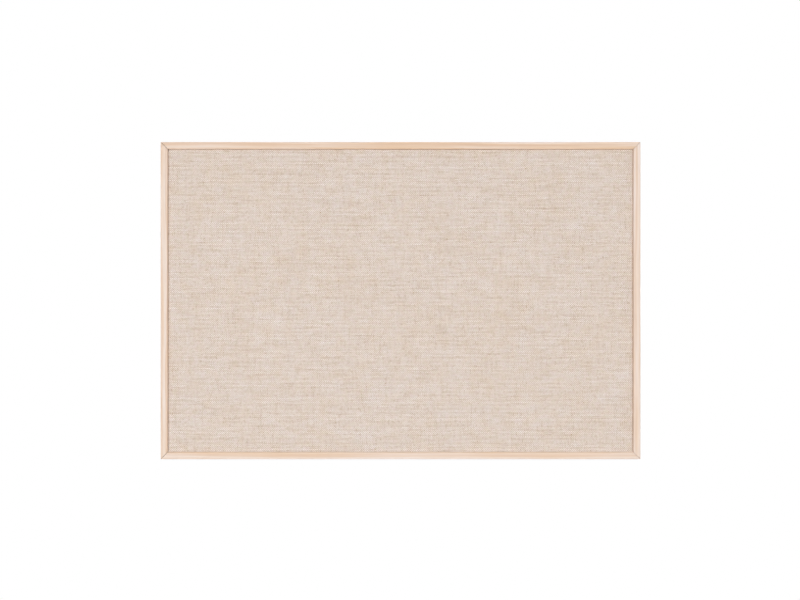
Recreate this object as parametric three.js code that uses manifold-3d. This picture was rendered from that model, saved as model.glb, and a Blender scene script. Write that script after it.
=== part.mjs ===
// Linen pinboard in a slim mitred pine frame, hung on two D-ring hangers.
// A softboard core is wrapped in linen and lies on a hardboard back. The hardboard is stapled into
// a rebate behind the rails, and the rails are joined by a V-nail in each mitre.
//
// Millimetres. Seen from the front, +X is to the right, +Z is up and +Y points back to the wall.
// The origin is the middle of the top rail's back face, which lies against the wall.

import * as THREE from "three";
import { mergeVertices } from "three/addons/utils/BufferGeometryUtils.js";
import Module from "manifold-3d";

const wasm = await Module();
wasm.setup();

// Board, outside to outside
const boardWidth = 590;
const boardHeight = 390;

// Frame rails
const railFace = 8.7; // width seen from the front
const backLand = 4.5; // width of wood left behind the rebate
const edgeEase = 1; // radius of the eased front edges
const mitreGap = 0.25; // open joint line between two rails
const faceRecess = 2.5; // the linen lies this far behind the front of the rails

// Linen-covered panel
const leftGap = 0.45; // open line between the panel and each rail
const rightGap = 0.3;
const topGap = 0.2;
const linenThickness = 0.7;
const hemWidth = 22; // linen turned over the back of the core
const coreThickness = 7;
const coreEdge = 0.8; // radius of the worn edges of the softboard

// Hardboard back
const backBoardThickness = 3;
const backBoardPlay = 0.5; // between its edge and the wall of the rebate

// Clearances
const seatGap = 0.3; // between pieces that lie on each other
const drivenGap = 0.15; // round a fastener driven into wood
const wallClearance = 0.5; // between the hangers and the wall

// Staples
const stapleCrown = 10;
const stapleWire = 1;
const stapleBreadth = 1.2;
const stapleBite = 5; // depth of a leg in the rail
const stapleEndMargin = 60; // from the corner of the frame to the first staple
const acrossStapleCount = 4;
const uprightStapleCount = 3;

// V-nails
const vNailWing = 5;
const vNailThickness = 0.6;
const vNailHeight = 8;

// Hangers
const hangerInset = 95; // from the side of the board to the middle of a ring
const hangerDrop = 60; // from the top of the board to the axis of the rings
const strapWidth = 9;
const strapThickness = 0.8;
const curlEnd = -60; // degrees round the knuckle at which the curled end stops
const ringWire = 2;
const ringGap = 0.3; // round the wire inside the knuckle
const ringSideGap = 0.5; // between the strap and the bends of the ring
const ringBend = 2; // radius of the bends, at the middle of the wire
const ringLeg = 4; // from the axis to the start of the round end
const ringEndGap = 0.5; // between the two ends of the bent wire
const rivetShank = 3.2;
const rivetHead = 6;
const rivetHeadHeight = 1.2;
const rivetHeadEdge = 0.3;
const rivetFlange = 5.4; // rolled end inside the hardboard
const rivetFlangeThickness = 0.6;
const rivetRingGap = 1; // between the rivet's head and the hanging ring

// Smoothness of the round shapes
const easeSegments = 3;
const curlSegments = 8;
const wireSegments = 5; // a wire has twice as many sides
const ringSteps = 56;
const rivetSides = 20;
const domeSteps = 4;

// Hanger sizes that follow
const knuckleInner = ringWire / 2 + ringGap;
const knuckleOuter = knuckleInner + strapThickness;
const axisHeight = seatGap + knuckleOuter; // ring axis above the hardboard
const strapTop = seatGap + strapThickness;
const ringHalfBar = strapWidth / 2 + ringSideGap;
const ringHalfWidth = ringHalfBar + ringBend;
const ringReach = ringLeg + ringHalfWidth + ringWire / 2;
const rivetDrop = ringReach + rivetRingGap + rivetHead / 2;

// Depths from the wall at y = 0 to the front of the rails
const hangerRecess = axisHeight + knuckleOuter + wallClearance;
const backBoardBack = -hangerRecess;
const backBoardFront = backBoardBack - backBoardThickness;
const ledge = backBoardFront - seatGap; // face of the rebate, and the back of the panel
const panelDepth = coreThickness + 2 * (linenThickness + seatGap);
const panelFront = ledge - panelDepth;
const railFront = panelFront - faceRecess;

// Panel and back sizes that follow
const panelWidth = boardWidth - 2 * railFace - leftGap - rightGap;
const panelHeight = boardHeight - 2 * railFace - topGap - seatGap;
const panelX = (leftGap - rightGap) / 2;
const panelY = (ledge + panelFront) / 2;
const panelZ = (seatGap - topGap) / 2;
const coreWidth = panelWidth - 2 * (linenThickness + seatGap);
const coreHeight = panelHeight - 2 * (linenThickness + seatGap);
const backBoardWidth = boardWidth - 2 * (backLand + backBoardPlay);
const backBoardHeight = boardHeight - 2 * (backLand + backBoardPlay);
const stapleLine = -(backLand + backBoardPlay + railFace) / 2; // middle of the hardboard's seat
const stapleLeg = backBoardBack + drivenGap - ledge + stapleBite;

// The rails in order round the frame, each turned so that its local +X runs clockwise
const rails = [
  { name: "top", length: boardWidth, turn: 0, x: 0, z: boardHeight / 2,
    staples: acrossStapleCount, corner: "top_right" },
  { name: "right", length: boardHeight, turn: Math.PI / 2, x: boardWidth / 2, z: 0,
    staples: uprightStapleCount, corner: "bottom_right" },
  { name: "bottom", length: boardWidth, turn: Math.PI, x: 0, z: -boardHeight / 2,
    staples: acrossStapleCount, corner: "bottom_left" },
  { name: "left", length: boardHeight, turn: -Math.PI / 2, x: -boardWidth / 2, z: 0,
    staples: uprightStapleCount, corner: "top_left" },
];

const sides = [
  { name: "left", x: hangerInset - boardWidth / 2 },
  { name: "right", x: boardWidth / 2 - hangerInset },
];

// Finishes
const palePine = { color: 0xeed8c4, roughness: 0.62, metalness: 0 };
const warmPine = { color: 0xe9cfb6, roughness: 0.62, metalness: 0 };
const linen = { color: 0xddcdc1, roughness: 0.95, metalness: 0 };
const softboard = { color: 0xb59a74, roughness: 0.95, metalness: 0 };
const hardboard = { color: 0x7d5a3c, roughness: 0.8, metalness: 0 };
const zincSteel = { color: 0xb9bcbd, roughness: 0.35, metalness: 1 };

function addPiece(group, name, geometry, finish) {
  const mesh = new THREE.Mesh(geometry, new THREE.MeshStandardMaterial(finish));
  mesh.name = name;
  group.add(mesh);
  return mesh;
}

// A closed geometry as a solid that can be cut
function toSolid(geometry) {
  const bare = geometry.clone();
  bare.deleteAttribute("normal");
  bare.deleteAttribute("uv");
  const merged = mergeVertices(bare);
  return new wasm.Manifold(new wasm.Mesh({
    numProp: 3,
    vertProperties: new Float32Array(merged.attributes.position.array),
    triVerts: new Uint32Array(merged.index.array),
  }));
}

function toGeometry(solid) {
  const mesh = solid.getMesh();
  const geometry = new THREE.BufferGeometry();
  geometry.setAttribute("position", new THREE.BufferAttribute(mesh.vertProperties, 3));
  geometry.setIndex(new THREE.BufferAttribute(mesh.triVerts, 1));
  geometry.computeVertexNormals();
  return geometry;
}

function cut(geometry, tools) {
  const rest = tools.reduce((solid, tool) => solid.subtract(toSolid(tool)), toSolid(geometry));
  return toGeometry(rest);
}

// A profile drawn in (y, z), run along X and centred on it
function runAlongX(profile, length, curveSegments) {
  const geometry = new THREE.ExtrudeGeometry(profile, { depth: length, bevelEnabled: false, curveSegments });
  geometry.translate(0, 0, -length / 2);
  const toYZX = new THREE.Matrix4().makeBasis(
    new THREE.Vector3(0, 1, 0),
    new THREE.Vector3(0, 0, 1),
    new THREE.Vector3(1, 0, 0),
  );
  return geometry.applyMatrix4(toYZX);
}

// An outline drawn in (x, z), thickened from y = low to y = high
function plateAcrossY(outline, low, high, curveSegments) {
  const geometry = new THREE.ExtrudeGeometry(outline, { depth: high - low, bevelEnabled: false, curveSegments });
  geometry.rotateX(Math.PI / 2);
  return geometry.translate(0, high, 0);
}

// A slab centred on the origin, thin in Y, with its long edges rounded
function roundedSlab(width, height, depth, radius) {
  const outline = new THREE.Shape();
  const halfWidth = width / 2 - radius;
  const halfHeight = height / 2 - radius;
  outline.moveTo(-halfWidth, -halfHeight);
  outline.lineTo(halfWidth, -halfHeight);
  outline.lineTo(halfWidth, halfHeight);
  outline.lineTo(-halfWidth, halfHeight);
  const geometry = new THREE.ExtrudeGeometry(outline, {
    depth: depth - 2 * radius,
    bevelThickness: radius,
    bevelSize: radius,
    bevelSegments: easeSegments,
  });
  geometry.translate(0, 0, radius - depth / 2);
  return geometry.rotateX(Math.PI / 2);
}

function holeAcrossY(radius, x, low, high, z) {
  const hole = new THREE.CylinderGeometry(radius, radius, high - low, rivetSides);
  return hole.translate(x, (low + high) / 2, z);
}

// Rails: z = 0 on the outer side, negative towards the panel

function railProfile() {
  const profile = new THREE.Shape();
  profile.moveTo(0, 0);
  profile.lineTo(railFront + edgeEase, 0);
  profile.absarc(railFront + edgeEase, -edgeEase, edgeEase, Math.PI / 2, Math.PI, false);
  profile.lineTo(railFront, edgeEase - railFace);
  profile.absarc(railFront + edgeEase, edgeEase - railFace, edgeEase, Math.PI, 1.5 * Math.PI, false);
  profile.lineTo(ledge, -railFace);
  profile.lineTo(ledge, -backLand);
  profile.lineTo(0, -backLand);
  return profile;
}

function mitredRail(length) {
  const geometry = runAlongX(railProfile(), length, easeSegments);
  const position = geometry.attributes.position;
  const outerHalf = length / 2 - mitreGap / Math.SQRT2;
  for (let i = 0; i < position.count; i += 1) {
    position.setX(i, Math.sign(position.getX(i)) * (outerHalf + position.getZ(i)));
  }
  return geometry;
}

// V-nail: two wings along the middle of the back lands, from the outer corner at (0, 0)
function vNail(gap, high) {
  const line = -backLand / 2;
  const half = vNailThickness / 2 + gap;
  const tip = line - vNailWing - gap;
  const outline = new THREE.Shape();
  outline.moveTo(line + half, line + half);
  outline.lineTo(tip, line + half);
  outline.lineTo(tip, line - half);
  outline.lineTo(line - half, line - half);
  outline.lineTo(line - half, tip);
  outline.lineTo(line + half, tip);
  return plateAcrossY(outline, -drivenGap - vNailHeight - gap, high, 1);
}

function vNailSlots(length) {
  const clearOfWood = drivenGap;
  const atEnd = vNail(drivenGap, clearOfWood).translate(length / 2, 0, 0);
  const atStart = vNail(drivenGap, clearOfWood).rotateY(-Math.PI / 2).translate(-length / 2, 0, 0);
  return [atStart, atEnd];
}

function staplePlaces(rail) {
  const span = rail.length - 2 * stapleEndMargin;
  const places = [];
  for (let i = 0; i < rail.staples; i += 1) {
    places.push((i / (rail.staples - 1) - 0.5) * span);
  }
  return places;
}

function staple() {
  const half = stapleCrown / 2;
  const outline = new THREE.Shape();
  outline.moveTo(-half, stapleWire);
  outline.lineTo(-half, stapleWire - stapleLeg);
  outline.lineTo(stapleWire - half, -stapleLeg);
  outline.lineTo(stapleWire - half, 0);
  outline.lineTo(half - stapleWire, 0);
  outline.lineTo(half - stapleWire, -stapleLeg);
  outline.lineTo(half, stapleWire - stapleLeg);
  outline.lineTo(half, stapleWire);
  const geometry = new THREE.ExtrudeGeometry(outline, { depth: stapleBreadth, bevelEnabled: false });
  return geometry.translate(0, backBoardBack + drivenGap, stapleLine - stapleBreadth / 2);
}

// Holes for the legs of one rail's staples, through the hardboard and into the rail
function stapleHoles(rail) {
  const thick = stapleWire + 2 * drivenGap;
  const broad = stapleBreadth + 2 * drivenGap;
  const low = backBoardBack - stapleLeg;
  const high = backBoardBack + drivenGap;
  const offset = (stapleCrown - stapleWire) / 2;
  const holes = [];
  for (const place of staplePlaces(rail)) {
    for (const x of [place - offset, place + offset]) {
      const hole = new THREE.BoxGeometry(thick, high - low, broad);
      holes.push(hole.translate(x, (low + high) / 2, stapleLine));
    }
  }
  return holes;
}

function onRail(geometry, rail) {
  return geometry.rotateY(rail.turn).translate(rail.x, 0, rail.z);
}

function frameRail(rail) {
  const group = new THREE.Group();
  group.position.set(rail.x, 0, rail.z);
  group.rotation.y = rail.turn;
  const wood = cut(mitredRail(rail.length), [...vNailSlots(rail.length), ...stapleHoles(rail)]);
  addPiece(group, `${rail.name}_rail`, wood, rail.length === boardWidth ? warmPine : palePine);
  const nail = addPiece(group, `${rail.corner}_v_nail`, vNail(0, -drivenGap), zincSteel);
  nail.position.x = rail.length / 2;
  staplePlaces(rail).forEach((place, i) => {
    const piece = addPiece(group, `${rail.name}_staple_${i + 1}`, staple(), zincSteel);
    piece.position.x = place;
  });
  return group;
}

// Panel: linen wrapped round the softboard, with its hems turned over the back

function linenCover() {
  const edge = coreEdge + seatGap;
  const outside = roundedSlab(panelWidth, panelHeight, panelDepth, edge + linenThickness);
  const hollow = roundedSlab(
    coreWidth + 2 * seatGap,
    coreHeight + 2 * seatGap,
    coreThickness + 2 * seatGap,
    edge,
  );
  const window = new THREE.BoxGeometry(panelWidth - 2 * hemWidth, panelDepth, panelHeight - 2 * hemWidth);
  window.translate(0, panelDepth / 2, 0);
  return cut(outside, [hollow, window]);
}

// The rivets' rolled ends dent the back of the softboard
function softboardCore() {
  const slab = roundedSlab(coreWidth, coreHeight, coreThickness, coreEdge);
  const back = coreThickness / 2;
  const z = boardHeight / 2 - hangerDrop - rivetDrop - panelZ;
  const dents = sides.map((side) => holeAcrossY(
    rivetFlange / 2 + seatGap,
    side.x - panelX,
    back - rivetFlangeThickness,
    back + rivetFlangeThickness,
    z,
  ));
  return cut(slab, dents);
}

function hardboardBack() {
  const board = new THREE.BoxGeometry(backBoardWidth, backBoardThickness, backBoardHeight);
  board.translate(0, (backBoardFront + backBoardBack) / 2, 0);
  const z = boardHeight / 2 - hangerDrop - rivetDrop;
  const rivetHoles = sides.map((side) => holeAcrossY(
    rivetShank / 2 + seatGap,
    side.x,
    backBoardFront - seatGap,
    backBoardBack + seatGap,
    z,
  ));
  const legHoles = rails.flatMap((rail) => stapleHoles(rail).map((hole) => onRail(hole, rail)));
  return cut(board, [...rivetHoles, ...legHoles]);
}

// Hangers: y = 0 on the back of the hardboard, z = 0 at the axis of the ring

// A strip that lies on the hardboard and curls over the straight bar of the ring
function strapProfile() {
  const curl = THREE.MathUtils.degToRad(curlEnd);
  const end = -rivetDrop - strapWidth / 2;
  const profile = new THREE.Shape();
  profile.moveTo(seatGap, end);
  profile.lineTo(seatGap, 0);
  profile.absarc(axisHeight, 0, knuckleOuter, Math.PI, curl, true);
  profile.lineTo(axisHeight + knuckleInner * Math.cos(curl), knuckleInner * Math.sin(curl));
  profile.absarc(axisHeight, 0, knuckleInner, curl, Math.PI, false);
  profile.lineTo(strapTop, end);
  return profile;
}

function hangerStrap() {
  const half = strapWidth / 2;
  const strip = runAlongX(strapProfile(), strapWidth, curlSegments);
  const outline = new THREE.Shape();
  outline.moveTo(half, knuckleOuter + seatGap);
  outline.lineTo(-half, knuckleOuter + seatGap);
  outline.lineTo(-half, -rivetDrop);
  outline.absarc(0, -rivetDrop, half, Math.PI, 2 * Math.PI, false);
  const roundEnd = plateAcrossY(outline, 0, axisHeight + knuckleOuter + seatGap, curlSegments);
  const hole = holeAcrossY(rivetShank / 2 + seatGap, 0, 0, strapTop + seatGap, -rivetDrop);
  const trimmed = toSolid(strip).intersect(toSolid(roundEnd));
  return toGeometry(trimmed.subtract(toSolid(hole)));
}

// A bent wire whose ends meet inside the knuckle
function hangerRing() {
  const path = new THREE.Path();
  path.moveTo(ringEndGap / 2, 0);
  path.lineTo(ringHalfBar, 0);
  path.absarc(ringHalfBar, -ringBend, ringBend, Math.PI / 2, 0, true);
  path.lineTo(ringHalfWidth, -ringLeg);
  path.absarc(0, -ringLeg, ringHalfWidth, 0, -Math.PI, true);
  path.lineTo(-ringHalfWidth, -ringBend);
  path.absarc(-ringHalfBar, -ringBend, ringBend, Math.PI, Math.PI / 2, true);
  path.lineTo(-ringEndGap / 2, 0);
  const places = path.getSpacedPoints(ringSteps).map((p) => new THREE.Vector3(p.x, axisHeight, p.y));
  const section = new THREE.Shape();
  section.absarc(0, 0, ringWire / 2, 0, 2 * Math.PI, false);
  return new THREE.ExtrudeGeometry(section, {
    steps: ringSteps,
    curveSegments: wireSegments,
    extrudePath: new THREE.CatmullRomCurve3(places),
  });
}

function hangerRivet() {
  const shank = rivetShank / 2;
  const head = rivetHead / 2;
  const flange = rivetFlange / 2;
  const headLow = strapTop + seatGap;
  const flangeHigh = -backBoardThickness - seatGap;
  const flangeLow = flangeHigh - rivetFlangeThickness;
  const outline = [
    new THREE.Vector2(0, flangeLow),
    new THREE.Vector2(flange, flangeLow),
    new THREE.Vector2(flange, flangeHigh),
    new THREE.Vector2(shank, flangeHigh),
    new THREE.Vector2(shank, headLow),
    new THREE.Vector2(head, headLow),
  ];
  for (let i = 0; i <= domeSteps; i += 1) {
    const angle = (i / domeSteps) * (Math.PI / 2);
    const rise = (rivetHeadHeight - rivetHeadEdge) * Math.sin(angle);
    const radius = i === domeSteps ? 0 : head * Math.cos(angle);
    outline.push(new THREE.Vector2(radius, headLow + rivetHeadEdge + rise));
  }
  return new THREE.LatheGeometry(outline, rivetSides).translate(0, 0, -rivetDrop);
}

function hanger(side) {
  const group = new THREE.Group();
  group.position.set(side.x, backBoardBack, boardHeight / 2 - hangerDrop);
  addPiece(group, `${side.name}_hanger_strap`, hangerStrap(), zincSteel);
  addPiece(group, `${side.name}_hanger_ring`, hangerRing(), zincSteel);
  addPiece(group, `${side.name}_hanger_rivet`, hangerRivet(), zincSteel);
  return group;
}

// Assembly, first about the middle of the board, then set at the middle of the top rail's back face

const board = new THREE.Group();
rails.forEach((rail) => board.add(frameRail(rail)));

const panel = new THREE.Group();
panel.position.set(panelX, panelY, panelZ);
addPiece(panel, "softboard_core", softboardCore(), softboard);
addPiece(panel, "linen_cover", linenCover(), linen);
board.add(panel);

addPiece(board, "hardboard_back", hardboardBack(), hardboard);
sides.forEach((side) => board.add(hanger(side)));
board.position.z = backLand / 2 - boardHeight / 2;

const memoBoard = new THREE.Group();
memoBoard.add(board);

export default memoBoard;
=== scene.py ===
import math

import bmesh
import bpy
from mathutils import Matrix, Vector, noise


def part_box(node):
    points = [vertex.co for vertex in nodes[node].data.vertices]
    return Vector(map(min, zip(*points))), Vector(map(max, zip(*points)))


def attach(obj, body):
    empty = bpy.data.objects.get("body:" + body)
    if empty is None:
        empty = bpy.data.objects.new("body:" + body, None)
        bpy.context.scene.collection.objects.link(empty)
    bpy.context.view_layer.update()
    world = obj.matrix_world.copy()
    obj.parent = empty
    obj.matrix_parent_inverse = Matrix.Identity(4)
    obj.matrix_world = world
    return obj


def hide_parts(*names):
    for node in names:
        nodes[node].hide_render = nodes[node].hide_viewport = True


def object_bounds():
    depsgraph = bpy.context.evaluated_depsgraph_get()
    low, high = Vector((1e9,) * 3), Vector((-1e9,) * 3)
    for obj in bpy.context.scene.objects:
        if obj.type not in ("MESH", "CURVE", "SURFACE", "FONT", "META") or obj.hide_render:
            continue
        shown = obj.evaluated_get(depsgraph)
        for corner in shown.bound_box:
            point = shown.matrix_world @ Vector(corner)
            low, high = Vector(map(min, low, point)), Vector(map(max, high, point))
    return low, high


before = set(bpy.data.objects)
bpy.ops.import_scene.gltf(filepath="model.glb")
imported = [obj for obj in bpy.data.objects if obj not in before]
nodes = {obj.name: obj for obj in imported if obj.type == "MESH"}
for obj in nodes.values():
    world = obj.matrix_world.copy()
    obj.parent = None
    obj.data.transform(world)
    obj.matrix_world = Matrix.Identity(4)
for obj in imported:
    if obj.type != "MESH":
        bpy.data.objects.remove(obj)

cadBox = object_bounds()  # the CAD box, taken before anything is dressed
mm = 0.001
boardMiddle = (cadBox[0] + cadBox[1]) / 2
print("memo board: loaded", len(nodes), "nodes")


# camera, square on with a long lens, a hair left of the board's middle and a hair above it
picture = {
    "lens": 100.0,
    "sensor": 36.0,
    "spanAcross": 983.4 * mm,  # width of the picture at the front of the rails
    "aside": -0.7 * mm,
    "above": 0.76 * mm,
    "farthest": 100.0,  # metres that the camera sees
}


def placeCamera():
    camera = bpy.data.objects.new("camera", bpy.data.cameras.new("camera"))
    bpy.context.collection.objects.link(camera)
    reach = picture["spanAcross"] * picture["lens"] / picture["sensor"]
    camera.location = (
        boardMiddle.x + picture["aside"],
        cadBox[0].y - reach,
        boardMiddle.z + picture["above"],
    )
    camera.rotation_euler = (math.radians(90), 0, 0)
    camera.data.lens = picture["lens"]
    camera.data.sensor_width = picture["sensor"]
    camera.data.clip_end = picture["farthest"]
    bpy.context.scene.camera = camera


placeCamera()
bpy.context.scene.view_settings.view_transform = "Standard"


# small helpers for the finishes: most add a node and hand back its output
noiseLow, noiseMiddle, noiseHigh = 0.3, 0.5, 0.7  # nearly all of a noise lies between the outer two


def paint(red, green, blue):
    # a colour as seen on screen, 0 to 255, made linear for the shader
    def linear(part):
        part = part / 255
        return part / 12.92 if part <= 0.04045 else ((part + 0.055) / 1.055) ** 2.4
    return (linear(red), linear(green), linear(blue), 1)


def plug(tree, socket, source):
    if isinstance(source, bpy.types.NodeSocket):
        tree.links.new(source, socket)
    else:
        socket.default_value = source


def startFinish(name):
    finish = bpy.data.materials.new(name)
    finish.use_nodes = True
    tree = finish.node_tree
    return finish, tree, tree.nodes["Principled BSDF"]


def calc(tree, operation, *sources):
    step = tree.nodes.new("ShaderNodeMath")
    step.operation = operation
    for socket, source in zip(step.inputs, sources):
        plug(tree, socket, source)
    return step.outputs["Value"]


def stretch(tree, source, fromLow, fromHigh, toLow, toHigh, smooth=False):
    step = tree.nodes.new("ShaderNodeMapRange")
    step.interpolation_type = "SMOOTHSTEP" if smooth else "LINEAR"
    for name, value in zip(
        ("Value", "From Min", "From Max", "To Min", "To Max"),
        (source, fromLow, fromHigh, toLow, toHigh),
    ):
        plug(tree, step.inputs[name], value)
    return step.outputs["Result"]


def joinXyz(tree, x, y, z):
    step = tree.nodes.new("ShaderNodeCombineXYZ")
    for socket, source in zip(step.inputs, (x, y, z)):
        plug(tree, socket, source)
    return step.outputs["Vector"]


def splitXyz(tree, source):
    step = tree.nodes.new("ShaderNodeSeparateXYZ")
    plug(tree, step.inputs["Vector"], source)
    return step.outputs["X"], step.outputs["Y"], step.outputs["Z"]


def objectPlace(tree):
    return tree.nodes.new("ShaderNodeTexCoord").outputs["Object"]


def noiseAt(tree, place, scale=1.0, detail=2.0, rough=0.5):
    step = tree.nodes.new("ShaderNodeTexNoise")
    plug(tree, step.inputs["Vector"], place)
    for name, value in (("Scale", scale), ("Detail", detail), ("Roughness", rough)):
        plug(tree, step.inputs[name], value)
    return step.outputs["Fac"]


def mixTint(tree, share, first, second, kind="MIX"):
    step = tree.nodes.new("ShaderNodeMix")
    step.data_type = "RGBA"
    step.blend_type = kind
    plug(tree, step.inputs["Factor"], share)
    plug(tree, step.inputs["A"], first)
    plug(tree, step.inputs["B"], second)
    return step.outputs["Result"]


def shadeTint(tree, tint, shade):
    return mixTint(tree, 1.0, tint, joinXyz(tree, shade, shade, shade), "MULTIPLY")


def bumpFrom(tree, shader, height, rise, strength):
    step = tree.nodes.new("ShaderNodeBump")
    step.inputs["Strength"].default_value = strength
    step.inputs["Distance"].default_value = rise
    plug(tree, step.inputs["Height"], height)
    plug(tree, shader.inputs["Normal"], step.outputs["Normal"])


def dress(nodeNames, finish):
    for name in nodeNames:
        materials = nodes[name].data.materials
        materials.clear()
        materials.append(finish)


# studio: white all round for the camera, plain soft light for the board
studio = {
    "ceiling": 0.36,  # the room's own light from above and from below, next to a white of 1
    "ground": 0.1,
    "lamps": {  # each stands off from the board's middle, in metres, and faces it
        "frontSoftbox": {"at": (-0.3, -4.5, -0.2), "size": (3.0, 2.4), "power": 108},
        "topSoftbox": {"at": (-0.2, 0.3, 3.0), "size": (2.8, 2.0), "power": 26},
        "leftSoftbox": {"at": (-1.7, -2.0, -0.1), "size": (1.3, 1.7), "power": 9.6},
        "rightSoftbox": {"at": (1.7, -2.0, -0.1), "size": (1.3, 1.7), "power": 9.1},
        "leftWing": {"at": (-2.4, 0.3, 0.3), "size": (1.6, 2.0), "power": 16},
        "rightWing": {"at": (2.4, 0.3, 0.3), "size": (1.6, 2.0), "power": 16},
        "backSoftbox": {"at": (0.5, 2.2, 1.1), "size": (3.4, 2.4), "power": 44},
    },
    "floorDrop": 2.0,  # the board's middle hangs this far above the floor
    "floorSide": 12.0,
    "floorShades": ((176, 175, 173), (182, 181, 180)),
    "specklesPerMetre": 3.0,
    "floorRough": 0.9,
    "floorLift": 0.8,  # added to the floor near the board where it is seen, so that it reads white
    "floorSpread": (1.5, 4.0),  # from below the board, out to where the floor is seen as plain white
}


def seenDirectly(tree):
    # camera, mirror and see-through rays all meet the white background
    rays = tree.nodes.new("ShaderNodeLightPath")
    either = calc(tree, "MAXIMUM", rays.outputs["Is Camera Ray"], rays.outputs["Is Glossy Ray"])
    return calc(tree, "MAXIMUM", either, rays.outputs["Is Transmission Ray"])


def lightStudio():
    world = bpy.data.worlds.new("studio")
    world.use_nodes = True
    bpy.context.scene.world = world
    tree = world.node_tree
    background = tree.nodes["Background"]
    background.inputs["Color"].default_value = (1, 1, 1, 1)
    up = splitXyz(tree, tree.nodes.new("ShaderNodeTexCoord").outputs["Generated"])[2]
    room = stretch(tree, up, -1, 1, studio["ground"], studio["ceiling"])
    level = stretch(tree, seenDirectly(tree), 0, 1, room, 1)
    plug(tree, background.inputs["Strength"], level)
    for name, lamp in studio["lamps"].items():
        data = bpy.data.lights.new(name, "AREA")
        data.shape = "RECTANGLE"
        data.size, data.size_y = lamp["size"]
        data.energy = lamp["power"]
        softbox = bpy.data.objects.new(name, data)
        bpy.context.collection.objects.link(softbox)
        softbox.location = boardMiddle + Vector(lamp["at"])
        softbox.rotation_euler = (-Vector(lamp["at"])).to_track_quat("-Z", "Y").to_euler()
        softbox.visible_camera = False


def layFloor():
    half = studio["floorSide"] / 2
    mesh = bpy.data.meshes.new("floor")
    corners = [(-half, -half, 0), (half, -half, 0), (half, half, 0), (-half, half, 0)]
    mesh.from_pydata(corners, [], [(0, 1, 2, 3)])
    floor = bpy.data.objects.new("floor", mesh)
    floor.location = boardMiddle - Vector((0, 0, studio["floorDrop"]))
    bpy.context.collection.objects.link(floor)
    finish, tree, shader = startFinish("pale_floor")
    speckle = noiseAt(tree, objectPlace(tree), studio["specklesPerMetre"], detail=3.0)
    pale = mixTint(tree, speckle, *[paint(*shade) for shade in studio["floorShades"]])
    shader.inputs["Roughness"].default_value = studio["floorRough"]
    shader.inputs["Emission Color"].default_value = (1, 1, 1, 1)
    away = tree.nodes.new("ShaderNodeVectorMath")
    away.operation = "LENGTH"
    plug(tree, away.inputs[0], objectPlace(tree))
    near, far = studio["floorSpread"]
    fade = stretch(tree, away.outputs["Value"], near, far, 0, 1, smooth=True)
    seen = seenDirectly(tree)
    # far off, the floor is all glow where it is seen, so that no shadow edge shows
    glowing = calc(tree, "MULTIPLY", fade, seen)
    plug(tree, shader.inputs["Base Color"], mixTint(tree, glowing, pale, (0, 0, 0, 1)))
    lift = stretch(tree, fade, 0, 1, studio["floorLift"], 1)
    plug(tree, shader.inputs["Emission Strength"], calc(tree, "MULTIPLY", lift, seen))
    mesh.materials.append(finish)


lightStudio()
layFloor()
print("memo board: camera, studio and floor set")


# pine rails: growth lines wander along each rail, and each length of wood is as warm as its own tree
pine = {
    "pale": (238, 221, 210),
    "warm": (228, 196, 165),
    "late": (219, 186, 158),  # late wood, the dark side of a growth line
    "joint": (114, 78, 54),  # end grain that shows along a mitre
    "jointWidth": 0.6 * mm,
    "ringWidth": 2.4 * mm,
    "lateStart": 0.35,  # where in a growth line the late wood starts, and where it is darkest
    "latePeak": 0.9,
    "lateShare": (0.3, 0.75),  # how strongly it shows, in the palest drift of tone and in the warmest
    "sway": 5 * mm,  # how far a growth line wanders
    "swayLength": 200 * mm,
    "swayWidth": 12 * mm,
    "driftLength": 150 * mm,  # slow change from pale to warm along the rail
    "driftWidth": 5 * mm,
    "inward": 0.045,  # warmer towards the linen, per mm
    "fibreLength": 30 * mm,
    "fibreWidth": 0.35 * mm,
    "fibreShade": (0.965, 1.025),
    "rough": (0.52, 0.68),
    "rise": 0.06 * mm,
    "lateRise": 0.4,  # how far late wood stands up, next to a fibre
    "bump": 0.5,
    # for each rail: the tree's heart off to its side and behind it, which way the linen lies, how warm
    # it is, how far that strays along it, and how strongly the joint at its low and its high end shows
    "rails": {
        "top_rail": {
            "runs": "x", "seed": 3.7, "heart": (-15 * mm, 30 * mm), "inner": -1,
            "warmth": 0.6, "vary": 3.0, "joints": (1.0, 0.4),
        },
        "bottom_rail": {
            "runs": "x", "seed": 8.2, "heart": (18 * mm, 24 * mm), "inner": 1,
            "warmth": 0.42, "vary": 1.9, "joints": (1.0, 0.4),
        },
        "left_rail": {
            "runs": "z", "seed": 5.1, "heart": (21 * mm, 27 * mm), "inner": 1,
            "warmth": 0.34, "vary": 2.3, "joints": (1.0, 1.0),
        },
        "right_rail": {
            "runs": "z", "seed": 1.4, "heart": (-24 * mm, 19 * mm), "inner": -1,
            "warmth": 0.28, "vary": 2.1, "joints": (0.4, 0.4),
        },
    },
}


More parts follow.
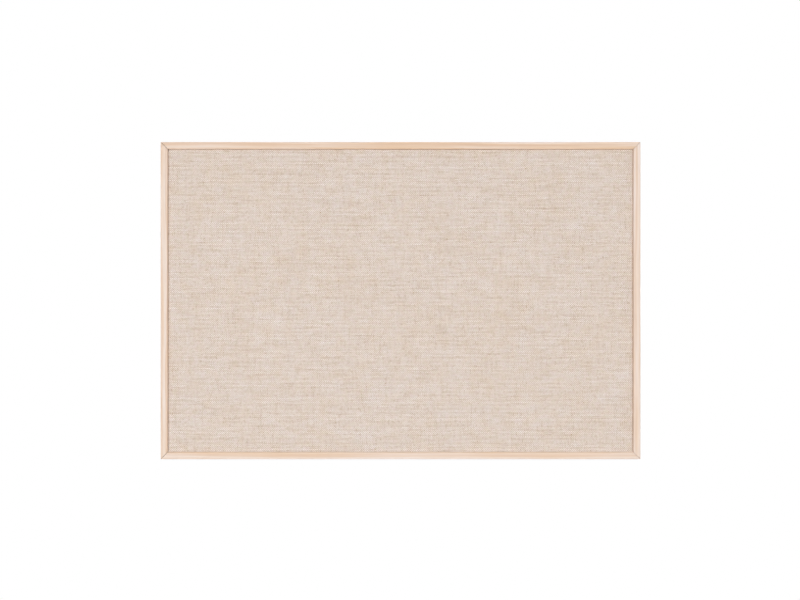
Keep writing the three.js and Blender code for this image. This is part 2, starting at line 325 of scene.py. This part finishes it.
def pineFinish(rail, cut):
    finish, tree, shader = startFinish("pine_" + rail)
    x, y, z = splitXyz(tree, objectPlace(tree))
    low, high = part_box(rail)
    middle = (low + high) / 2
    fromMiddle = calc(tree, "SUBTRACT", z, boardMiddle.z)
    if cut["runs"] == "x":
        along, across = x, calc(tree, "SUBTRACT", z, middle.z)
    else:
        along, across = fromMiddle, calc(tree, "SUBTRACT", x, middle.x)
    seed = cut["seed"]

    # growth lines: rings about the tree's heart
    swayPlace = joinXyz(
        tree,
        calc(tree, "MULTIPLY_ADD", along, 1 / pine["swayLength"], seed),
        calc(tree, "MULTIPLY", across, 1 / pine["swayWidth"]),
        calc(tree, "MULTIPLY_ADD", y, 1 / pine["swayWidth"], seed),
    )
    swayNoise = noiseAt(tree, swayPlace, detail=3.0, rough=0.45)
    swayedAcross = calc(tree, "ADD", across, stretch(tree, swayNoise, 0, 1, -pine["sway"], pine["sway"]))
    heartAcross, heartDepth = cut["heart"]
    sideways = calc(tree, "SUBTRACT", swayedAcross, heartAcross)
    deep = calc(tree, "SUBTRACT", y, heartDepth)
    square = calc(tree, "MULTIPLY_ADD", sideways, sideways, calc(tree, "MULTIPLY", deep, deep))
    ring = calc(tree, "FRACT", calc(tree, "DIVIDE", calc(tree, "SQRT", square), pine["ringWidth"]))
    darkening = stretch(tree, ring, pine["lateStart"], pine["latePeak"], 0, 1, smooth=True)
    ending = stretch(tree, ring, pine["latePeak"], 1.0, 1, 0, smooth=True)
    lateWood = calc(tree, "MULTIPLY", darkening, ending)

    # fine fibres and slower drifts of tone, both drawn out along the rail
    def drawnOut(length, width, start):
        return joinXyz(
            tree,
            calc(tree, "MULTIPLY_ADD", along, 1 / length, start),
            calc(tree, "MULTIPLY", swayedAcross, 1 / width),
            calc(tree, "MULTIPLY", y, 1 / width),
        )
    fibre = noiseAt(tree, drawnOut(pine["fibreLength"], pine["fibreWidth"], seed), rough=0.6)
    drift = noiseAt(tree, drawnOut(pine["driftLength"], pine["driftWidth"], seed * 2))

    # pale to warm, slowly along the rail and towards its inner edge
    warmth = calc(tree, "MULTIPLY_ADD", drift, cut["vary"], cut["warmth"] - cut["vary"] / 2)
    warmth = calc(tree, "MULTIPLY_ADD", across, cut["inner"] * pine["inward"] / mm, warmth)
    tint = mixTint(tree, warmth, paint(*pine["pale"]), paint(*pine["warm"]))
    lineShare = stretch(tree, drift, noiseLow, noiseHigh, *pine["lateShare"])
    tint = mixTint(tree, calc(tree, "MULTIPLY", lateWood, lineShare), tint, paint(*pine["late"]))
    tint = shadeTint(tree, tint, stretch(tree, fibre, noiseLow, noiseHigh, *pine["fibreShade"]))

    # darker end grain in a hair's breadth beside each mitre
    halfWide = (cadBox[1].x - cadBox[0].x) / 2
    halfHigh = (cadBox[1].z - cadBox[0].z) / 2
    offSide = calc(tree, "SUBTRACT", halfWide, calc(tree, "ABSOLUTE", x))
    offEdge = calc(tree, "SUBTRACT", halfHigh, calc(tree, "ABSOLUTE", fromMiddle))
    offJoint = calc(tree, "ABSOLUTE", calc(tree, "SUBTRACT", offSide, offEdge))
    beside = stretch(tree, offJoint, 0, pine["jointWidth"], 1, 0, smooth=True)
    jointShare = stretch(tree, along, -halfHigh / 2, halfHigh / 2, *cut["joints"])
    tint = mixTint(tree, calc(tree, "MULTIPLY", beside, jointShare), tint, paint(*pine["joint"]))

    plug(tree, shader.inputs["Base Color"], tint)
    plug(tree, shader.inputs["Roughness"], stretch(tree, fibre, noiseLow, noiseHigh, *pine["rough"]))
    grain = calc(tree, "MULTIPLY_ADD", lateWood, pine["lateRise"], fibre)
    bumpFrom(tree, shader, grain, pine["rise"], pine["bump"])
    return finish


for rail, cut in pine["rails"].items():
    dress([rail], pineFinish(rail, cut))
print("memo board: four pine rails finished")


# linen: one sheet wrapped over the softboard, with its own weave from the flat cut
linen = {
    "thickness": 0.7 * mm,
    "hem": 22 * mm,
    "edgeRound": 1.8 * mm,
    "edgeSteps": 5,
    "cell": 6 * mm,  # mesh spacing over the front
    "swell": 0.12 * mm,  # slight rise and fall of the stretched cloth
    "swellLength": 70 * mm,
    "fill": (0.3, 0.18, 0.18, 0.29),  # mm by which the cloth fills the gap at left, right, top and bottom
    "sideSlope": 1.35,  # at the left and right the edge is this much wider than it is deep
    "pressed": 0.12,  # it stands on the bottom rail, so its lower edge is squarer
    "cornerSquare": 6.0,  # folded corners are squarer than a round one, which is 2
    "warpPitch": 1.255 * mm,  # upright threads
    "weftPitch": 1.314 * mm,  # threads across
    "wavesPerMetre": 14.0,
    "wave": 0.2,  # in threads
    "raggedPerMetre": 380.0,  # uneven yarn, thick and thin
    "ragged": 0.32,
    "crimp": 0.4,  # rise and fall of a thread over and under its neighbours, next to its own height
    "fullness": 0.75,  # of a thread's round, 1 is thin and 0.5 is full
    "runsPerMetre": 31.0,  # of dark and light along a thread
    "weftStep": 7.31,  # from a thread to the next in the noise, so that they differ
    "warpStep": 5.17,
    "warpLayer": 4.0,  # how deep in the noise the upright threads lie, away from those across
    "weftRun": 2.5,  # how far a thread across strays from the mean tone, along its length
    "warpRun": 1.5,
    "warpDarker": 0.6,
    "darkLean": 2.0,  # dark stretches stray further than light ones
    "beat": 0.13,  # every fourth thread across is this much paler, and the one halfway as much darker
    "crossing": 0.42,  # how much darker the darkest crossings are
    "fewDark": 8.0,  # the higher, the fewer of them
    "mottlesPerMetre": 45.0,
    "mottle": 0.05,
    "tone": 0.945,  # from dark at 0 to light at 1
    "dark": (209, 184, 160),
    "light": (251, 239, 231),
    "huesPerMetre": 70.0,
    "broadPerMetre": 12.0,  # slower clouds of the same hues
    "broad": 0.45,
    "hueSpan": (0.25, 0.75),
    "greyer": (1.014, 1.042, 1.092, 1),  # what the tint is multiplied by
    "warmer": (0.986, 0.957, 0.906, 1),
    "yarnsPerMetre": 200.0,
    "yarnLayer": 9.0,
    "rose": (238, 216, 213),
    "rosy": 0.3,
    "straw": (226, 215, 192),
    "strawy": 0.3,
    "valleyShade": 0.375,  # painted shade: how much darker the cloth is between the threads, where they dip
    "strands": 5.0,  # to a thread
    "twist": 1.6,
    "strandShade": 0.1,
    "strandRise": 0.25,  # next to a thread
    "relief": 0.3 * mm,
    "bump": 0.4,
    "rough": 0.9,
    "specular": 0.2,
    "sheen": 0.08,
}


def clothReach(off, depth, half, deep):
    # how far a point lies from the middle of the flat cut, measured along the cloth
    curve = linen["edgeRound"]
    side = math.copysign(1, off)
    off = abs(off)
    quarter = curve * math.pi / 2
    if depth > deep - curve and off < half - curve:
        return side * (half - 2 * curve + 2 * quarter + deep - 2 * curve + half - curve - off)
    if off <= half - curve:
        return side * off
    if depth < curve:
        return side * (half - curve + curve * math.atan2(off - half + curve, curve - depth))
    if depth > deep - curve:
        turn = math.atan2(depth - deep + curve, off - half + curve)
        return side * (half - curve + quarter + deep - 2 * curve + curve * turn)
    return side * (half - curve + quarter + depth - curve)


def wrapLinen(bm, low, size, middle):
    # the front, the edges and the turned-over hem, with rounded edges and an even mesh
    bmesh.ops.create_cube(bm, size=1)
    for vert in bm.verts:
        vert.co = Vector([m + s * c for m, s, c in zip(middle, size, vert.co)])
    back = [face for face in bm.faces if face.normal.y > 0.5]
    bmesh.ops.inset_region(bm, faces=back, thickness=linen["hem"], use_even_offset=True)
    bmesh.ops.delete(bm, geom=back, context="FACES")
    sharp = math.radians(45)
    outer = [edge for edge in bm.edges if len(edge.link_faces) == 2 and edge.calc_face_angle() > sharp]
    bmesh.ops.bevel(
        bm, geom=outer, offset=linen["edgeRound"], segments=linen["edgeSteps"], profile=0.5, affect="EDGES"
    )
    for axis, unit in ((0, Vector((1, 0, 0))), (2, Vector((0, 0, 1)))):
        count = round(size[axis] / linen["cell"])
        for step in range(1, count):
            at = middle.copy()
            at[axis] = low[axis] + size[axis] * step / count
            everything = bm.verts[:] + bm.edges[:] + bm.faces[:]
            bmesh.ops.bisect_plane(bm, geom=everything, plane_co=at, plane_no=unit)


def orderMesh(bm):
    # a few faces come in another order each time, so everything is put in a fixed one
    for number, vert in enumerate(sorted(bm.verts, key=lambda vert: vert.co[:])):
        vert.index = number
    bm.verts.sort()
    for parts in (bm.edges, bm.faces):
        ordered = sorted(parts, key=lambda part: sorted(vert.index for vert in part.verts))
        for number, part in enumerate(ordered):
            part.index = number
        parts.sort()


def settleLinen(bm, low, size, middle):
    curve, square = linen["edgeRound"], linen["cornerSquare"]
    for vert in bm.verts:
        # folded corners
        off = vert.co - middle
        aside = (abs(off.x) - size.x / 2) / curve + 1
        above = (abs(off.z) - size.z / 2) / curve + 1
        if aside > 0 and above > 0:
            push = math.hypot(aside, above) / (aside ** square + above ** square) ** (1 / square) - 1
            vert.co.x += math.copysign(aside * push * curve, off.x)
            vert.co.z += math.copysign(above * push * curve, off.z)
        # wide shoulders at the sides, the edge that it stands on, and the swell of the front
        inside = size.x / 2 - abs(vert.co.x - middle.x)
        if inside < curve:
            vert.co.x -= math.copysign(inside * (linen["sideSlope"] - 1), off.x)
        if vert.co.y < low.y + curve and vert.co.z < low.z + curve:
            vert.co.y = low.y + (vert.co.y - low.y) * linen["pressed"]
        if vert.co.y < low.y + curve / 2:
            lift = noise.noise(vert.co / linen["swellLength"])
            vert.co.y += linen["swell"] * (0.5 + lift)


def cutLinen():
    low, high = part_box("linen_cover")
    left, right, top, bottom = linen["fill"]
    low += Vector((-left, 0, -bottom)) * mm
    high += Vector((right, 0, top)) * mm
    middle = (low + high) / 2
    size = high - low
    bm = bmesh.new()
    wrapLinen(bm, low, size, middle)
    orderMesh(bm)

    # where each corner of each face lies on the flat cut
    grain = bm.loops.layers.uv.new("flat_cut")
    for face in bm.faces:
        for loop in face.loops:
            off = loop.vert.co - middle
            depth = loop.vert.co.y - low.y
            loop[grain].uv = (
                clothReach(off.x, depth, size.x / 2, size.y),
                clothReach(off.z, depth, size.z / 2, size.y),
            )
    settleLinen(bm, low, size, middle)
    bmesh.ops.recalc_face_normals(bm, faces=bm.faces)
    mesh = bpy.data.meshes.new("linen_sheet")
    bm.to_mesh(mesh)
    bm.free()
    for face in mesh.polygons:
        face.use_smooth = True
    sheet = bpy.data.objects.new("linen_sheet", mesh)
    bpy.context.collection.objects.link(sheet)
    gauge = sheet.modifiers.new("gauge", "SOLIDIFY")
    gauge.thickness = linen["thickness"]
    gauge.offset = -1
    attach(sheet, "board")
    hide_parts("linen_cover")
    return sheet


def threadHeight(tree, across, number, along, crimp):
    # a round thread that rises and falls along its length, as the thread beside it falls and rises
    curve = calc(tree, "SINE", calc(tree, "MULTIPLY", calc(tree, "FRACT", across), math.pi))
    turn = calc(tree, "COSINE", calc(tree, "MULTIPLY", number, math.pi))
    rise = calc(tree, "MULTIPLY", turn, calc(tree, "SINE", calc(tree, "MULTIPLY", along, math.pi)))
    return calc(tree, "MULTIPLY_ADD", rise, crimp, calc(tree, "POWER", curve, linen["fullness"]))


def passNumber(tree, along, number, shift):
    # counts the places where a thread lies on top, which come at every second thread
    past = calc(tree, "ADD", calc(tree, "SUBTRACT", along, number), shift)
    return calc(tree, "FLOOR", calc(tree, "MULTIPLY", past, 0.5))


def linenFinish():
    finish, tree, shader = startFinish("linen_weave")
    cut = tree.nodes.new("ShaderNodeUVMap")
    cut.uv_map = "flat_cut"
    flat = cut.outputs["UV"]
    s, t = splitXyz(tree, flat)[:2]

    def wander(perMetre, reach, detail):
        return stretch(tree, noiseAt(tree, flat, perMetre, detail), 0, 1, -reach, reach)

    # threads by number, slightly wavy as woven cloth is
    wave = wander(linen["wavesPerMetre"], linen["wave"], detail=1.0)
    ragged = wander(linen["raggedPerMetre"], linen["ragged"], detail=2.0)
    warpPlace = calc(tree, "DIVIDE", s, linen["warpPitch"])
    warpPlace = calc(tree, "ADD", warpPlace, calc(tree, "ADD", wave, ragged))
    weftPlace = calc(tree, "DIVIDE", t, linen["weftPitch"])
    weftPlace = calc(tree, "ADD", weftPlace, calc(tree, "SUBTRACT", wave, ragged))
    warp = calc(tree, "FLOOR", warpPlace)
    weft = calc(tree, "FLOOR", weftPlace)

    # plain weave: each thread goes over one and under the next, and the higher of the two is seen
    warpHeight = threadHeight(tree, warpPlace, warp, weftPlace, -linen["crimp"])
    weftHeight = threadHeight(tree, weftPlace, weft, warpPlace, linen["crimp"])
    warpOnTop = calc(tree, "GREATER_THAN", warpHeight, weftHeight)
    form = calc(tree, "MAXIMUM", warpHeight, weftHeight)

    def onTop(ofWeft, ofWarp):
        return stretch(tree, warpOnTop, 0, 1, ofWeft, ofWarp)

    # slubs: each thread has its own run of dark and light
    perMetre = linen["runsPerMetre"]
    weftRun = joinXyz(
        tree,
        calc(tree, "MULTIPLY", s, perMetre),
        calc(tree, "MULTIPLY", weft, linen["weftStep"]),
        0.0,
    )
    warpRun = joinXyz(
        tree,
        calc(tree, "MULTIPLY", warp, linen["warpStep"]),
        calc(tree, "MULTIPLY", t, perMetre),
        linen["warpLayer"],
    )
    slubs = []
    for run in (weftRun, warpRun):
        stray = calc(tree, "SUBTRACT", noiseAt(tree, run, detail=5.0, rough=0.7), noiseMiddle)
        lean = calc(tree, "MULTIPLY_ADD", stray, -linen["darkLean"], 1.0)
        slubs.append(calc(tree, "MULTIPLY", stray, lean))
    weftSlub, warpSlub = slubs
    beat = calc(tree, "COSINE", calc(tree, "MULTIPLY", weft, math.pi / 2))
    weftTone = calc(tree, "MULTIPLY", weftSlub, linen["weftRun"])
    weftTone = calc(tree, "MULTIPLY_ADD", beat, linen["beat"], weftTone)
    warpTone = calc(tree, "MULTIPLY_ADD", warpSlub, linen["warpRun"], -linen["warpDarker"])
    thread = onTop(weftTone, warpTone)

    # a few crossings are darker, and the whole cloth is faintly mottled
    weftPass = passNumber(tree, warpPlace, weft, 0.5)
    warpPass = passNumber(tree, weftPlace, warp, -0.5)
    crossing = tree.nodes.new("ShaderNodeTexWhiteNoise")
    crossingPlace = joinXyz(tree, onTop(weftPass, warpPass), onTop(weft, warp), warpOnTop)
    plug(tree, crossing.inputs["Vector"], crossingPlace)
    few = calc(tree, "POWER", crossing.outputs["Value"], linen["fewDark"])
    loose = stretch(tree, few, 0, 1, 0, -linen["crossing"])
    mottle = wander(linen["mottlesPerMetre"], linen["mottle"], detail=3.0)
    tone = calc(tree, "ADD", calc(tree, "ADD", thread, loose), calc(tree, "ADD", mottle, linen["tone"]))
    tint = mixTint(tree, tone, paint(*linen["dark"]), paint(*linen["light"]))
    tint.node.clamp_factor = False

    # some of the cloth is greyer and some warmer, and some yarn is rosier or more like straw
    broad = calc(tree, "SUBTRACT", noiseAt(tree, flat, linen["broadPerMetre"]), noiseMiddle)
    fine = noiseAt(tree, flat, linen["huesPerMetre"], detail=4.0, rough=0.6)
    hue = calc(tree, "MULTIPLY_ADD", broad, linen["broad"], fine)
    gain = mixTint(tree, stretch(tree, hue, *linen["hueSpan"], 0, 1), linen["greyer"], linen["warmer"])
    tint = mixTint(tree, 1.0, tint, gain, "MULTIPLY")
    yarn = noiseAt(tree, joinXyz(tree, s, t, linen["yarnLayer"]), linen["yarnsPerMetre"])
    rosy = stretch(tree, yarn, noiseMiddle, noiseHigh, 0, linen["rosy"])
    tint = mixTint(tree, rosy, tint, paint(*linen["rose"]))
    strawy = stretch(tree, yarn, noiseMiddle, noiseLow, 0, linen["strawy"])
    tint = mixTint(tree, strawy, tint, paint(*linen["straw"]))

    # strands twisted in the yarn, and painted shade where the threads dip
    strands = []
    for along, across in ((warpPlace, weftPlace), (weftPlace, warpPlace)):
        spread = calc(tree, "MULTIPLY", across, linen["strands"])
        twisted = calc(tree, "MULTIPLY_ADD", along, linen["twist"], spread)
        strands.append(noiseAt(tree, joinXyz(tree, twisted, along, 0.0), rough=0.6))
    strand = onTop(*strands)
    # painted shade: the colour is darker where the weave lies low
    dip = stretch(tree, form, 0, 1 + linen["crimp"], 1 - linen["valleyShade"], 1)
    streak = stretch(tree, strand, noiseLow, noiseHigh, 1 - linen["strandShade"], 1 + linen["strandShade"])
    tint = shadeTint(tree, tint, calc(tree, "MULTIPLY", dip, streak))
    plug(tree, shader.inputs["Base Color"], tint)
    shader.inputs["Roughness"].default_value = linen["rough"]
    shader.inputs["Specular IOR Level"].default_value = linen["specular"]
    shader.inputs["Sheen Weight"].default_value = linen["sheen"]
    height = calc(tree, "MULTIPLY_ADD", strand, linen["strandRise"], form)
    bumpFrom(tree, shader, height, linen["relief"], linen["bump"])
    return finish


linenSheet = cutLinen()
linenSheet.data.materials.append(linenFinish())
print("memo board: linen cut, wrapped and woven")


# back board and core: pressed wood fibre, fine and dark for the back, loose and pale for the core
fibreBoards = {
    "boards": {
        "hardboard_back": {
            "finish": "pressed_hardboard", "fibresPerMetre": 420.0, "cloudsPerMetre": 16.0,
            "dark": (104, 70, 42), "middle": (140, 101, 66), "pale": (172, 134, 96),
            "rough": (0.42, 0.6), "rise": 0.05 * mm,
        },
        "softboard_core": {
            "finish": "loose_softboard", "fibresPerMetre": 260.0, "cloudsPerMetre": 12.0,
            "dark": (146, 118, 84), "middle": (184, 158, 120), "pale": (212, 190, 156),
            "rough": (0.85, 0.95), "rise": 0.25 * mm,
        },
    },
    "turns": (0.4, 1.5, 2.6),  # the ways that the fibres lie, in radians
    "slim": 0.22,  # a fibre's width next to its length
    "bump": 0.5,
    # which part of each noise shows, how strongly it shows there and in which of the board's colours
    "clouds": {"span": (0.35, 0.65), "share": 0.18, "colour": "dark"},
    "flecks": {"span": (0.6, 0.75), "share": 0.55, "colour": "pale"},
    "specks": {"span": (0.44, 0.3), "share": 0.7, "colour": "dark"},
}


def fibreFinish(look):
    finish, tree, shader = startFinish(look["finish"])
    place = objectPlace(tree)
    x, y, z = splitXyz(tree, place)
    clouds = noiseAt(tree, place, look["cloudsPerMetre"], detail=4.0)
    # fibres lie flat in every direction, so three drawn-out noises cross each other
    crossed = []
    for turn in fibreBoards["turns"]:
        run = calc(tree, "MULTIPLY_ADD", x, math.cos(turn), calc(tree, "MULTIPLY", z, math.sin(turn)))
        side = calc(tree, "MULTIPLY_ADD", x, -math.sin(turn), calc(tree, "MULTIPLY", z, math.cos(turn)))
        laid = joinXyz(tree, calc(tree, "MULTIPLY", run, fibreBoards["slim"]), side, y)
        crossed.append(noiseAt(tree, laid, look["fibresPerMetre"] * 2, detail=3.0, rough=0.6))
    flecks = calc(tree, "MAXIMUM", calc(tree, "MAXIMUM", crossed[0], crossed[1]), crossed[2])
    specks = noiseAt(tree, place, look["fibresPerMetre"], detail=5.0, rough=0.65)
    tint = paint(*look["middle"])
    for name, pattern in (("clouds", clouds), ("flecks", flecks), ("specks", specks)):
        layer = fibreBoards[name]
        share = stretch(tree, pattern, *layer["span"], 0, layer["share"])
        tint = mixTint(tree, share, tint, paint(*look[layer["colour"]]))
    plug(tree, shader.inputs["Base Color"], tint)
    plug(tree, shader.inputs["Roughness"], stretch(tree, specks, noiseLow, noiseHigh, *look["rough"]))
    bumpFrom(tree, shader, calc(tree, "ADD", flecks, specks), look["rise"], fibreBoards["bump"])
    return finish


for board, look in fibreBoards["boards"].items():
    dress([board], fibreFinish(look))
print("memo board: hardboard and softboard finished")


# steel: drawn wire for the rings and staples, zinc plate for straps, rivets and V-nails
metals = {
    "wire": {
        "finish": "drawn_steel_wire", "rough": (0.26, 0.4),
        "dull": (118, 118, 116), "bright": (150, 150, 147),
    },
    "zinc": {
        "finish": "zinc_plate", "rough": (0.32, 0.5),
        "dull": (128, 131, 134), "bright": (160, 163, 165),
    },
    "blotchesPerMetre": 420.0,
    "scratchesPerMetre": 2600.0,
    "slim": 0.12,  # a scratch's width next to its length
    "rise": 0.01 * mm,
    "bump": 0.4,
}


def metalFinish(look):
    finish, tree, shader = startFinish(look["finish"])
    place = objectPlace(tree)
    blotch = noiseAt(tree, place, metals["blotchesPerMetre"], detail=4.0, rough=0.6)
    x, y, z = splitXyz(tree, place)
    drawn = joinXyz(tree, calc(tree, "MULTIPLY", x, metals["slim"]), y, z)
    scratch = noiseAt(tree, drawn, metals["scratchesPerMetre"], detail=3.0)
    shine = stretch(tree, blotch, noiseLow, noiseHigh, 0, 1)
    tint = mixTint(tree, shine, paint(*look["dull"]), paint(*look["bright"]))
    plug(tree, shader.inputs["Base Color"], tint)
    plug(tree, shader.inputs["Roughness"], stretch(tree, blotch, noiseHigh, noiseLow, *look["rough"]))
    shader.inputs["Metallic"].default_value = 1.0
    bumpFrom(tree, shader, scratch, metals["rise"], metals["bump"])
    return finish


wireSteel = metalFinish(metals["wire"])
zincPlate = metalFinish(metals["zinc"])


# staples and V-nails keep their solids, with the sharp edges of the bent wire and strip taken off
fasteners = {
    "kinds": {
        "staple": {"finish": wireSteel, "edge": 0.22 * mm},
        "v_nail": {"finish": zincPlate, "edge": 0.1 * mm},
    },
    "weldWithin": 0.002 * mm,
    "flatWithin": 1.0,  # degrees
    "sharpOver": 40.0,
    "edgeSteps": 3,
}


def bevelEdges(piece, edge, steps, sharpOver):
    bevel = piece.modifiers.new("bevel", "BEVEL")
    bevel.width = edge
    bevel.segments = steps
    bevel.limit_method = "ANGLE"
    bevel.angle_limit = math.radians(sharpOver)


def softenEdges(piece, edge):
    weld = piece.modifiers.new("weld", "WELD")
    weld.merge_threshold = fasteners["weldWithin"]
    flat = piece.modifiers.new("flat", "DECIMATE")
    flat.decimate_type = "DISSOLVE"
    flat.angle_limit = math.radians(fasteners["flatWithin"])
    bevelEdges(piece, edge, fasteners["edgeSteps"], fasteners["sharpOver"])


for kind, look in fasteners["kinds"].items():
    names = [name for name in nodes if kind in name]
    dress(names, look["finish"])
    for name in names:
        softenEdges(nodes[name], look["edge"])
print("memo board: staples and V-nails finished")


# hangers: a strap curled over the bar of a D-ring and riveted through the hardboard
hanger = {
    "ringWire": 2 * mm,
    "ringBend": 2 * mm,
    "ringEndGap": 0.5 * mm,
    "ringEndEdge": 0.15 * mm,
    "ringSides": 20,
    "barSteps": 8,
    "bendSteps": 10,
    "bowSteps": 24,  # to each half of the round end
    "strapThickness": 0.8 * mm,
    "strapEdge": 0.16 * mm,
    "strapSharpOver": 50.0,  # degrees
    "tailSteps": 16,
    "tailTip": 0.05 * mm,  # half the width at which the round tail ends
    "curlStop": -60.0,  # degrees round the knuckle
    "curlSteps": 40,
    "acrossSteps": 8,
    "rivetSides": 40,
    "rivetShank": 3.2 * mm,
    "rivetFlange": 5.4 * mm,
    "rivetFlangeThickness": 0.6 * mm,
    "rivetFlangeSteps": 8,
    "rivetHeadHeight": 1.2 * mm,
    "rivetHeadEdge": 0.1 * mm,
    "rivetDome": (5.0, 75.0),  # degrees up the dome, from the head's edge to the hole
    "rivetDomeFoot": 0.08,  # share of the head's height below the dome
    "rivetDomeSteps": 12,
    "rivetHole": 1.5 * mm,  # left by the pin that drew the rivet tight
    "rivetHoleRim": 0.12 * mm,
    "rivetHoleTaper": 0.9,
    "rivetHoleDepth": 0.5 * mm,
    "rivetMiddle": 0.02 * mm,  # radius of the small disc that closes each end
    "rivetEdge": 0.06 * mm,
    "rivetSharpOver": 40.0,  # degrees
    "bevelSteps": 2,
}


def addPiece(name, verts, faces, finish, body, node):
    mesh = bpy.data.meshes.new(name)
    mesh.from_pydata(verts, [], faces)
    bm = bmesh.new()
    bm.from_mesh(mesh)
    bmesh.ops.recalc_face_normals(bm, faces=bm.faces)
    bm.to_mesh(mesh)
    bm.free()
    for face in mesh.polygons:
        face.use_smooth = True
    mesh.materials.append(finish)
    piece = bpy.data.objects.new(name, mesh)
    bpy.context.collection.objects.link(piece)
    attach(piece, body)
    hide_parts(node)
    return piece


def arcPoints(centre, radius, start, stop, steps):
    # points of an arc, from one angle to another, in degrees
    points = []
    for step in range(steps + 1):
        angle = math.radians(start + (stop - start) * step / steps)
        points.append((centre[0] + radius * math.cos(angle), centre[1] + radius * math.sin(angle)))
    return points


def stripFaces(rows, columns, closed=False):
    # quads over a grid of points, listed row by row; a closed one joins its last column to its first
    faces = []
    for row in range(rows - 1):
        for column in range(columns if closed else columns - 1):
            right = (column + 1) % columns
            faces.append((
                row * columns + column,
                row * columns + right,
                (row + 1) * columns + right,
                (row + 1) * columns + column,
            ))
    return faces


def tubeFaces(rows, columns):
    # a closed strip with both its ends shut
    faces = stripFaces(rows, columns, closed=True)
    faces.append(tuple(reversed(range(columns))))
    faces.append(tuple(range((rows - 1) * columns, rows * columns)))
    return faces


def bendRing(side):
    low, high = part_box(side + "_hanger_ring")
    wire = hanger["ringWire"] / 2
    middle = (low + high) / 2
    axis = high.z - wire
    halfWide = (high.x - low.x) / 2 - wire
    bend = hanger["ringBend"]
    bar = halfWide - bend
    leg = high.z - low.z - 2 * wire - halfWide
    # the wire's middle line: from the gap in the bar round one side, and back round the other
    steps = hanger["barSteps"]
    half = [(hanger["ringEndGap"] / 2 + bar * step / steps, 0) for step in range(steps)]
    half += arcPoints((bar, -bend), bend, 90, 0, hanger["bendSteps"])
    half += arcPoints((0, -leg), halfWide, 0, -90, hanger["bowSteps"])
    path = half + [(-x, z) for x, z in reversed(half[:-1])]
    sides = hanger["ringSides"]
    verts = []
    last = len(path) - 1
    for place, (x, z) in enumerate(path):
        before, after = path[max(place - 1, 0)], path[min(place + 1, last)]
        along = Vector((after[0] - before[0], 0, after[1] - before[1])).normalized()
        outward = Vector((along.z, 0, -along.x))
        for turn in range(sides):
            angle = 2 * math.pi * turn / sides
            off = outward * math.cos(angle) * wire + Vector((0, math.sin(angle) * wire, 0))
            verts.append(Vector((middle.x + x, middle.y, axis + z)) + off)
    faces = tubeFaces(len(path), sides)
    ring = addPiece(
        side + "_d_ring", verts, faces, wireSteel, side + "_ring", side + "_hanger_ring"
    )
    softenEdges(ring, hanger["ringEndEdge"])


def curlStrap(side):
    low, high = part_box(side + "_hanger_strap")
    half = (high.x - low.x) / 2
    gauge = hanger["strapThickness"]
    curl = (high.y - low.y - gauge) / 2  # radius at the middle of the strip
    axisY = (low.y + high.y) / 2
    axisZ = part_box(side + "_hanger_ring")[1].z - hanger["ringWire"] / 2
    # depth, height and half width along the strip, from its round tail to the end of its curl
    path = []
    for step in range(hanger["tailSteps"] + 1):
        angle = math.pi / 2 * step / hanger["tailSteps"]
        wide = max(half * math.sin(angle), hanger["tailTip"])
        path.append((axisY - curl, low.z + half * (1 - math.cos(angle)), wide))
    for y, z in arcPoints((axisY, axisZ), curl, 180, hanger["curlStop"], hanger["curlSteps"]):
        path.append((y, z, half))
    across = hanger["acrossSteps"]
    verts = []
    for y, z, wide in path:
        for column in range(across + 1):
            verts.append(((low.x + high.x) / 2 + wide * (2 * column / across - 1), y, z))
    faces = stripFaces(len(path), across + 1)
    strap = addPiece(
        side + "_strap", verts, faces, zincPlate, "board", side + "_hanger_strap"
    )
    solid = strap.modifiers.new("gauge", "SOLIDIFY")
    solid.thickness = gauge
    solid.offset = 0
    bevelEdges(strap, hanger["strapEdge"], hanger["bevelSteps"], hanger["strapSharpOver"])


def turnRivet(side):
    low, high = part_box(side + "_hanger_rivet")
    middle = (low + high) / 2
    head = (high.x - low.x) / 2
    rise = hanger["rivetHeadHeight"]
    seat = high.y - rise  # where the head lies on the strap
    foot = hanger["rivetDomeFoot"]
    hole = hanger["rivetHole"] / 2
    floor = high.y - hanger["rivetHoleDepth"]
    flange = hanger["rivetFlange"] / 2
    thick = hanger["rivetFlangeThickness"]
    shank = hanger["rivetShank"] / 2
    tip = hanger["rivetMiddle"]
    # outline from the flange's middle to the bottom of the hole in the head: radius and depth
    outline = [(tip, low.y), (flange - thick / 2, low.y)]
    roll = arcPoints((0, low.y + thick / 2), thick / 2, -90, 90, hanger["rivetFlangeSteps"])
    outline += [(flange - thick / 2 + x, y) for x, y in roll]
    outline += [(shank, low.y + thick), (shank, seat), (head - hanger["rivetHeadEdge"], seat)]
    dome = arcPoints((0, 0), 1.0, *hanger["rivetDome"], hanger["rivetDomeSteps"])
    outline += [(head * x, seat + rise * (foot + (1 - foot) * y)) for x, y in dome if head * x > hole]
    outline += [(hole, high.y - hanger["rivetHoleRim"])]
    outline += [(hole * hanger["rivetHoleTaper"], floor), (tip, floor)]
    sides = hanger["rivetSides"]
    verts = []
    for radius, y in outline:
        for turn in range(sides):
            angle = 2 * math.pi * turn / sides
            verts.append((middle.x + radius * math.cos(angle), y, middle.z + radius * math.sin(angle)))
    faces = tubeFaces(len(outline), sides)
    rivet = addPiece(
        side + "_rivet", verts, faces, zincPlate, "board", side + "_hanger_rivet"
    )
    bevelEdges(rivet, hanger["rivetEdge"], hanger["bevelSteps"], hanger["rivetSharpOver"])


for side in ("left", "right"):
    bendRing(side)
    curlStrap(side)
    turnRivet(side)
print("memo board: two hangers bent, curled and riveted")
